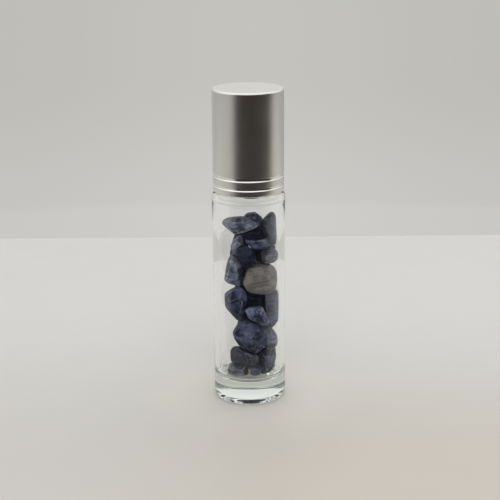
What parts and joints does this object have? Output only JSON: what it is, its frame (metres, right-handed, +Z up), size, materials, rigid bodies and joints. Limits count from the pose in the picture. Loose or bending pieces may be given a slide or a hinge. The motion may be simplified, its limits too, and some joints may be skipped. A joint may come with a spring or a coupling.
{
  "type": "roll-on bottle",
  "caption": "Small clear glass roll-on bottle with a thick base, a steel roller ball in a moulded fitment, a satin screw cap and a fill of tumbled stone chips.",
  "frame": {"origin": "centre of the ring that the bottle stands on", "axes": "+Z up along the bottle's axis, -Y towards the side that the picture shows"},
  "size_m": [0.02, 0.02, 0.087],
  "materials": {
    "clear_glass": "clear, polished, faintly green where it is thick",
    "satin_aluminium": "satin anodised, with two polished grooves",
    "polished_steel": "polished stainless steel",
    "housing_plastic": "natural moulded polyethylene",
    "liner_plastic": "white moulded polypropylene",
    "stone_night": "tumbled and polished, near-black blue",
    "stone_slate": "tumbled and polished, dark slate blue",
    "stone_haze": "tumbled and polished, grey blue with pale veins",
    "stone_beige": "tumbled and polished, beige grey",
    "stone_umber": "tumbled and polished, brown grey with pale bands"
  },
  "bodies": {
    "bottle": {"glass_bottle": "clear_glass", "roller_housing": "housing_plastic", "chip_beak": "stone_slate", "chip_dome": "stone_night", "chip_ear": "stone_haze", "chip_pupil": "stone_night", "chip_cheek": "stone_slate", "chip_bun": "stone_haze", "chip_tooth": "stone_slate", "chip_flank": "stone_slate", "chip_knuckle": "stone_umber", "chip_crumb": "stone_umber", "chip_loaf": "stone_beige", "chip_shield": "stone_night", "chip_shade": "stone_night", "chip_pillar": "stone_slate", "chip_arrow": "stone_slate", "chip_diamond": "stone_slate", "chip_wing": "stone_haze", "chip_boot": "stone_night", "chip_bark": "stone_umber", "chip_block": "stone_slate", "chip_keel": "stone_slate", "chip_rear_upper": "stone_night", "chip_rear_left": "stone_slate", "chip_rear_loaf": "stone_haze", "chip_rear_waist": "stone_night", "chip_rear_lower": "stone_slate", "chip_rear_right": "stone_slate", "chip_rear_foot": "stone_umber"},
    "roller": {"roller_ball": "polished_steel"},
    "cap": {"cap_shell": "satin_aluminium"},
    "inner_cap": {"cap_liner": "liner_plastic"}
  },
  "joints": [
    {"name": "cap_lift", "type": "slide", "parent": "bottle", "child": "cap", "axis": [0, 0, 1], "range_m": [0, 0.021]},
    {"name": "cap_turn", "type": "hinge", "parent": "cap", "child": "inner_cap", "pos_m": [0, 0, 0.0594], "axis": [0, 0, 1], "range_deg": [0, 2520]},
    {"name": "roller_spin", "type": "hinge", "parent": "bottle", "child": "roller", "pos_m": [0, 0, 0.0725], "axis": [1, 0, 0], "continuous": true}
  ],
  "couplings": [
    {"joint": "cap_lift", "follows": "cap_turn", "m_per_rad": 0.00047746}
  ]
}
